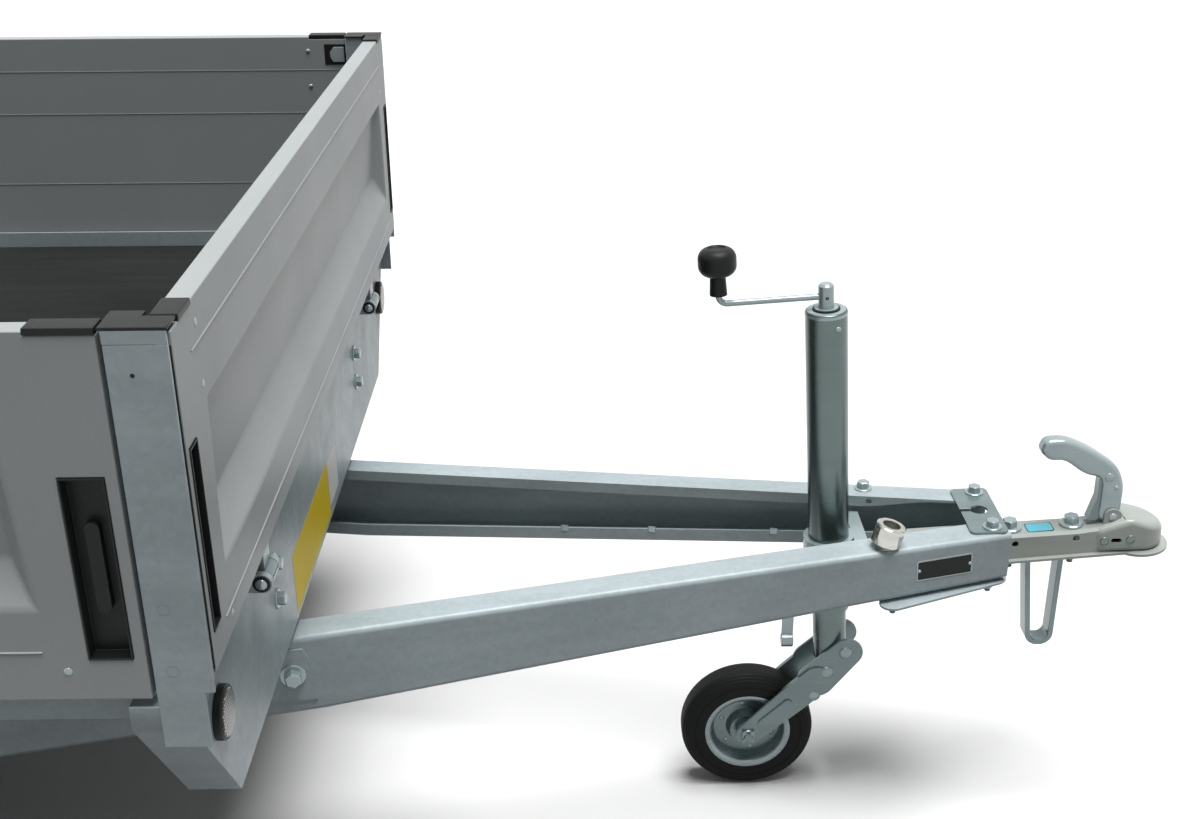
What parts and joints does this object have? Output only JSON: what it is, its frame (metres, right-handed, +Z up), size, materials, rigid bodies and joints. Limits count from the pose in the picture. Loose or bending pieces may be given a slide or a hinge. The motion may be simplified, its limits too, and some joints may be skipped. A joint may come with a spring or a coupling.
{
  "type": "utility trailer",
  "caption": "Flatbed utility trailer with drop-down metal boards on a raised deck, V drawbar, ball coupling and telescopic jockey wheel.",
  "frame": {"origin": "on the ground, midway between the tail end and the coupling's tip, on the centre line", "axes": "+X forwards along the drawbar, +Y to the trailer's left, +Z up"},
  "size_m": [3.7818, 1.489, 1.067],
  "materials": {
    "panel_steel": "satin",
    "galvanised": "spangled galvanised",
    "zinc_bright": "bright zinc plated",
    "black_plastic": "fine grained",
    "ply": "film faced",
    "rubber_tyre": "matt",
    "wheel_steel": "silver satin",
    "hub_iron": "dull",
    "clear_reflector": "clear",
    "lamp_lens": "moulded"
  },
  "bodies": {
    "chassis": {"axle_arm_left": "galvanised", "axle_arm_right": "galvanised", "axle_bracket_left": "galvanised", "axle_bracket_right": "galvanised", "axle_tube": "galvanised", "bridge_plate_low": "galvanised", "bridge_plate_top": "galvanised", "chassis_rail_left": "galvanised", "chassis_rail_right": "galvanised", "corner_post_front_left": "galvanised", "corner_post_front_right": "galvanised", "corner_post_rear_left": "galvanised", "corner_post_rear_right": "galvanised", "coupling_head": "zinc_bright", "coupling_lever": "zinc_bright", "drawbar_beam_left": "galvanised", "drawbar_beam_right": "galvanised", "drawbar_saddles_left": "galvanised", "drawbar_saddles_right": "galvanised", "floor_bearers": "galvanised", "floor_board": "ply", "front_plate": "galvanised", "front_reflectors": "clear_reflector", "jockey_clamp": "zinc_bright", "jockey_crank": "zinc_bright", "jockey_knob": "black_plastic", "jockey_outer_tube": "zinc_bright", "parking_foot": "galvanised", "plug_ring": "zinc_bright", "post_caps": "black_plastic", "rear_lamps": "lamp_lens", "rear_plate": "galvanised", "side_rail_left": "galvanised", "side_rail_right": "galvanised"},
    "front_board": {"front_board": "panel_steel", "front_board_caps": "black_plastic", "front_board_locks": "black_plastic"},
    "tailboard": {"tailboard": "panel_steel", "tailboard_caps": "black_plastic", "tailboard_locks": "black_plastic"},
    "side_board_left": {"side_board_left": "panel_steel", "side_board_left_caps": "black_plastic", "side_board_left_locks": "black_plastic"},
    "side_board_right": {"side_board_right": "panel_steel", "side_board_right_caps": "black_plastic", "side_board_right_locks": "black_plastic"},
    "road_wheel_left": {"wheel_hub_left": "hub_iron", "wheel_rim_left": "wheel_steel", "wheel_tyre_left": "rubber_tyre"},
    "road_wheel_right": {"wheel_hub_right": "hub_iron", "wheel_rim_right": "wheel_steel", "wheel_tyre_right": "rubber_tyre"},
    "jockey_leg": {"jockey_leg": "zinc_bright"},
    "jockey_fork": {"jockey_fork": "zinc_bright"},
    "jockey_wheel": {"jockey_rim": "zinc_bright", "jockey_tyre": "rubber_tyre"}
  },
  "joints": [
    {"name": "front_board_hinge", "type": "hinge", "parent": "chassis", "child": "front_board", "pos_m": [0.646, 0, 0.657], "axis": [0, 1, 0], "range_deg": [0, 115]},
    {"name": "tailboard_hinge", "type": "hinge", "parent": "chassis", "child": "tailboard", "pos_m": [-1.878, 0, 0.657], "axis": [0, -1, 0], "range_deg": [0, 180]},
    {"name": "side_board_left_hinge", "type": "hinge", "parent": "chassis", "child": "side_board_left", "pos_m": [-0.616, 0.7315, 0.641], "axis": [-1, 0, 0], "range_deg": [0, 180]},
    {"name": "side_board_right_hinge", "type": "hinge", "parent": "chassis", "child": "side_board_right", "pos_m": [-0.616, -0.7315, 0.641], "axis": [1, 0, 0], "range_deg": [0, 180]},
    {"name": "road_wheel_left_spin", "type": "hinge", "parent": "chassis", "child": "road_wheel_left", "pos_m": [-0.718, 0.63, 0.289], "axis": [0, 1, 0], "continuous": true},
    {"name": "road_wheel_right_spin", "type": "hinge", "parent": "chassis", "child": "road_wheel_right", "pos_m": [-0.718, -0.63, 0.289], "axis": [0, 1, 0], "continuous": true},
    {"name": "jockey_leg_slide", "type": "slide", "parent": "chassis", "child": "jockey_leg", "axis": [0.068, 0, -0.9977], "range_m": [-0.035, 0.16]},
    {"name": "jockey_fork_swivel", "type": "hinge", "parent": "jockey_leg", "child": "jockey_fork", "pos_m": [1.3815, 0, 0.424], "axis": [-0.068, 0, 0.9977], "continuous": true},
    {"name": "jockey_wheel_spin", "type": "hinge", "parent": "jockey_fork", "child": "jockey_wheel", "pos_m": [1.268, 0, 0.104], "axis": [0, 1, 0], "continuous": true}
  ]
}
